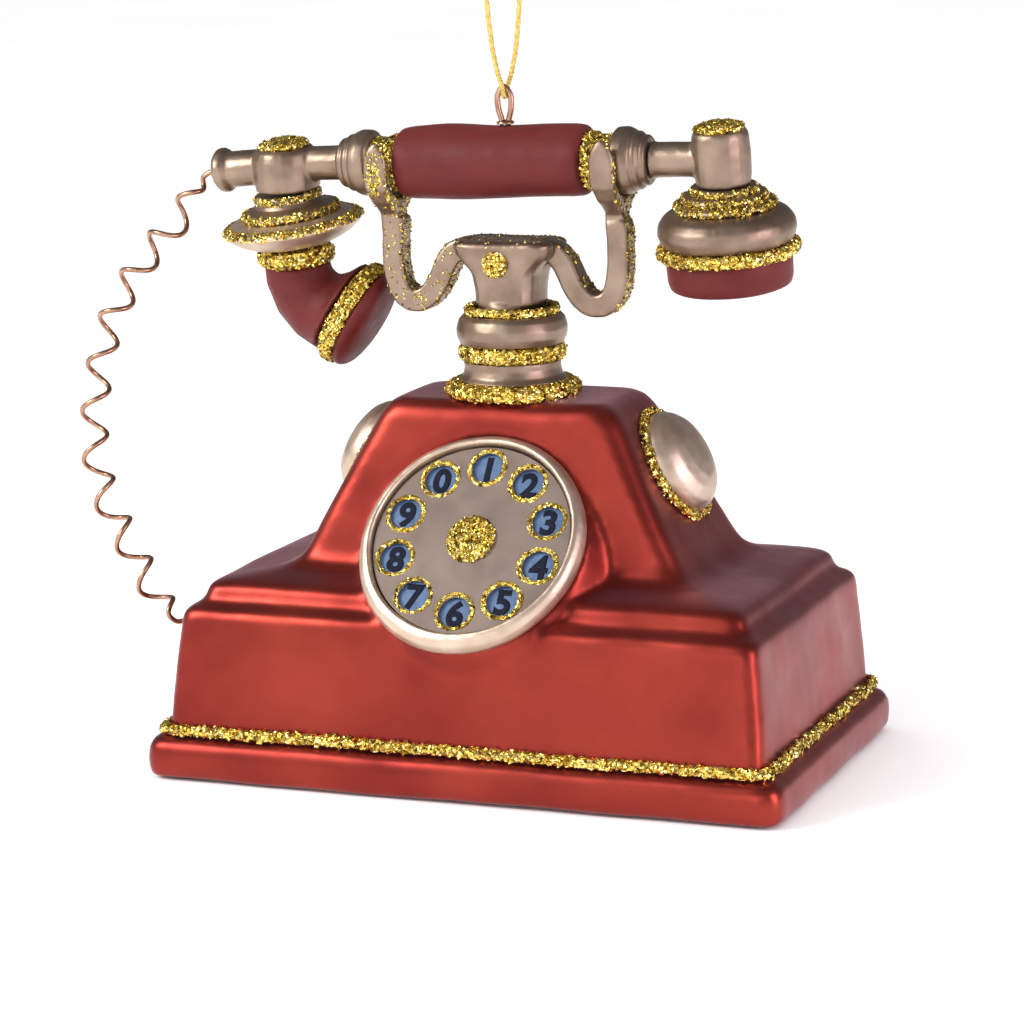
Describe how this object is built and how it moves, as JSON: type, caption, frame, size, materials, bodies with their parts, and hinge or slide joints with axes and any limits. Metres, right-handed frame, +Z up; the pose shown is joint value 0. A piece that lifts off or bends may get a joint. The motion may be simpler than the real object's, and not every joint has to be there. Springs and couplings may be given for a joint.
{
  "type": "rotary telephone",
  "caption": "Rotary desk telephone with a stepped case, round dial, side gongs, a sprung cradle and a separate handset on a curly cord, with a hanging loop.",
  "frame": {"origin": "under the middle of the case, on the surface it stands on", "axes": "+X to the receiver end, the right of a person facing the dial; -Y out of the dial's side; +Z up"},
  "size_m": [0.2974, 0.153, 0.3006],
  "materials": {
    "red_enamel": "satin metallic red",
    "red_bakelite": "matte dark red",
    "champagne_gold": "satin champagne",
    "gold_glitter": "coarse gold glitter in clear lacquer",
    "dial_face": "satin greige",
    "number_enamel": "greige with blue spots and dark numerals",
    "steel": "bright zinc",
    "brass": "machined",
    "coil_wire": "enamelled winding",
    "rubber": "matte black",
    "copper_wire": "rose copper wire",
    "thread": "twisted metallic thread"
  },
  "bodies": {
    "base": {"plinth": "red_enamel", "bottom_plate": "steel", "foot_1": "rubber", "foot_2": "rubber", "foot_3": "rubber", "foot_4": "rubber", "base_trim": "gold_glitter", "body_shell": "red_enamel", "cord_grommet": "rubber", "line_inlet": "rubber", "dial_bezel": "dial_face", "number_plate": "number_enamel", "dial_frame": "steel", "ringer_frame": "steel", "coil_left": "coil_wire", "coil_right": "coil_wire", "gong_left": "champagne_gold", "gong_right": "champagne_gold", "neck_flange": "gold_glitter", "neck_collar_lower": "champagne_gold", "neck_ring": "gold_glitter", "neck_collar_upper": "champagne_gold", "neck_ring_thin": "gold_glitter", "switch_bracket": "steel", "curly_cord": "copper_wire"},
    "handset": {"grip": "red_bakelite", "grip_collar_left": "gold_glitter", "grip_collar_right": "gold_glitter", "ringed_neck_left": "champagne_gold", "ringed_neck_right": "champagne_gold", "tee_left": "champagne_gold", "tee_right": "champagne_gold", "cap_left": "gold_glitter", "cap_right": "gold_glitter", "cord_ferrule": "champagne_gold", "hang_eye": "copper_wire", "receiver_collar": "gold_glitter", "receiver_bell": "champagne_gold", "receiver_band": "gold_glitter", "earpiece": "red_bakelite", "saucer_collar": "gold_glitter", "saucer": "champagne_gold", "horn_ring": "gold_glitter", "horn": "red_bakelite", "horn_band": "gold_glitter", "mouthpiece": "red_bakelite", "hang_thread": "thread"},
    "cradle": {"cradle_hub": "champagne_gold", "arm_left": "champagne_gold", "arm_right": "champagne_gold", "hub_rosette": "gold_glitter", "plunger_rod": "steel", "plunger_spring": "steel"},
    "lever": {"switch_lever": "brass"},
    "dial": {"finger_wheel": "dial_face", "centre_boss": "gold_glitter", "dial_shaft": "steel"},
    "governor": {"governor": "brass"},
    "clapper": {"clapper": "brass"}
  },
  "joints": [
    {"name": "handset_lift", "type": "slide", "parent": "base", "child": "handset", "axis": [0, 0, 1], "range_m": [0, 0.08]},
    {"name": "cradle_press", "type": "slide", "parent": "base", "child": "cradle", "axis": [0, 0, 1], "range_m": [0, 0.004], "deforming": ["plunger_spring"]},
    {"name": "hook_lever", "type": "hinge", "parent": "base", "child": "lever", "pos_m": [0.021, 0, 0.0665], "axis": [0, 1, 0], "range_deg": [0, 9.2]},
    {"name": "dial_turn", "type": "hinge", "parent": "base", "child": "dial", "pos_m": [0, -0.0512, 0.0952], "axis": [0, 0.788, -0.6157], "range_deg": [0, 300], "stiffness_Nm_per_rad": 0.01},
    {"name": "governor_spin", "type": "hinge", "parent": "base", "child": "governor", "pos_m": [0, -0.03412, 0.11707], "axis": [0, 0.788, -0.6157], "range_deg": [-1080, 0]},
    {"name": "clapper_rock", "type": "hinge", "parent": "base", "child": "clapper", "pos_m": [0, 0.026, 0.06], "axis": [0, 1, 0], "range_deg": [-2.2, 2.2], "stiffness_Nm_per_rad": 0.08}
  ],
  "couplings": [
    {"joint": "cradle_press", "follows": "handset_lift", "ratio": 0.05},
    {"joint": "hook_lever", "follows": "handset_lift", "rad_per_m": 2},
    {"joint": "governor_spin", "follows": "dial_turn", "ratio": -3.6}
  ]
}
